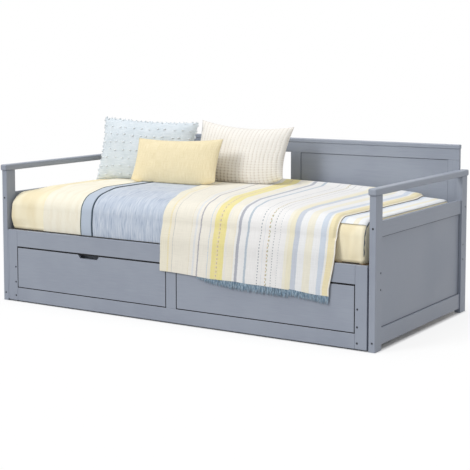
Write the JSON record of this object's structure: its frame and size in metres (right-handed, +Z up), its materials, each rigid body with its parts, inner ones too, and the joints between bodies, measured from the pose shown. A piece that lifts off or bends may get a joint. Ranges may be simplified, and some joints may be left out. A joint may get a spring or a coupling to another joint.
{
  "type": "storage daybed",
  "caption": "Painted wooden daybed with flat arms, panelled back, two drawers in a front frame that slides out to widen the bed, made up with bedding.",
  "frame": {"origin": "on the floor, under the middle of the daybed", "axes": "+X along the length, to the right of someone who faces the front, +Y towards the back, +Z up; the front faces -Y"},
  "size_m": [2.09, 1.018, 0.9011],
  "materials": {
    "blue_grey_paint": "satin paint",
    "slat_wood": "plain sawn",
    "drawer_board": "plain board",
    "glide_plastic": "matte",
    "sheet_cotton": "plain cotton",
    "quilt_cloth": "quilted cotton",
    "blanket_cloth": "ribbed cotton",
    "throw_cloth": "striped woven cotton",
    "blue_pillow_cloth": "knotted cotton",
    "yellow_pillow_cloth": "plain linen",
    "woven_pillow_cloth": "ribbed weave",
    "bolt_steel": "zinc"
  },
  "bodies": {
    "base": {"left_front_post": "blue_grey_paint", "left_rear_post": "blue_grey_paint", "right_front_post": "blue_grey_paint", "right_rear_post": "blue_grey_paint", "left_arm": "blue_grey_paint", "right_arm": "blue_grey_paint", "left_end_upper_rail": "blue_grey_paint", "right_end_upper_rail": "blue_grey_paint", "left_end_lower_rail": "blue_grey_paint", "right_end_lower_rail": "blue_grey_paint", "left_end_panel": "blue_grey_paint", "right_end_panel": "blue_grey_paint", "back_cap": "blue_grey_paint", "back_top_rail": "blue_grey_paint", "back_bottom_rail": "blue_grey_paint", "back_left_outer_stile": "blue_grey_paint", "back_right_outer_stile": "blue_grey_paint", "back_left_inner_stile": "blue_grey_paint", "back_right_inner_stile": "blue_grey_paint", "back_left_panel": "blue_grey_paint", "back_right_panel": "blue_grey_paint", "front_beam": "blue_grey_paint", "rear_rail": "blue_grey_paint", "fixed_slats": "slat_wood", "mattress": "sheet_cotton", "quilt": "quilt_cloth", "blanket": "blanket_cloth", "throw_top": "throw_cloth", "blue_pillow": "blue_pillow_cloth", "lumbar_pillow": "yellow_pillow_cloth", "woven_pillow": "woven_pillow_cloth"},
    "front_frame": {"frame_top_rail": "blue_grey_paint", "frame_bottom_rail": "blue_grey_paint", "frame_centre_stile": "blue_grey_paint", "frame_left_stile": "blue_grey_paint", "frame_right_stile": "blue_grey_paint", "frame_left_side": "blue_grey_paint", "frame_right_side": "blue_grey_paint", "frame_partition": "blue_grey_paint", "frame_rear_board": "blue_grey_paint", "moving_slats": "slat_wood", "left_outer_runner": "slat_wood", "left_inner_runner": "slat_wood", "right_outer_runner": "slat_wood", "right_inner_runner": "slat_wood", "left_glide": "glide_plastic", "right_glide": "glide_plastic", "throw_drop": "throw_cloth"},
    "left_drawer": {"left_drawer_front": "blue_grey_paint", "left_drawer_left_side": "drawer_board", "left_drawer_right_side": "drawer_board", "left_drawer_back": "drawer_board", "left_drawer_bottom": "drawer_board"},
    "right_drawer": {"right_drawer_front": "blue_grey_paint", "right_drawer_left_side": "drawer_board", "right_drawer_right_side": "drawer_board", "right_drawer_back": "drawer_board", "right_drawer_bottom": "drawer_board", "throw_flap": "throw_cloth"}
  },
  "joints": [
    {"name": "pull_out", "type": "slide", "parent": "base", "child": "front_frame", "axis": [0, -1, 0], "range_m": [0, 0.84]},
    {"name": "left_drawer_slide", "type": "slide", "parent": "front_frame", "child": "left_drawer", "axis": [0, -1, 0], "range_m": [0, 0.36]},
    {"name": "right_drawer_slide", "type": "slide", "parent": "front_frame", "child": "right_drawer", "axis": [0, -1, 0], "range_m": [0, 0.36]}
  ]
}
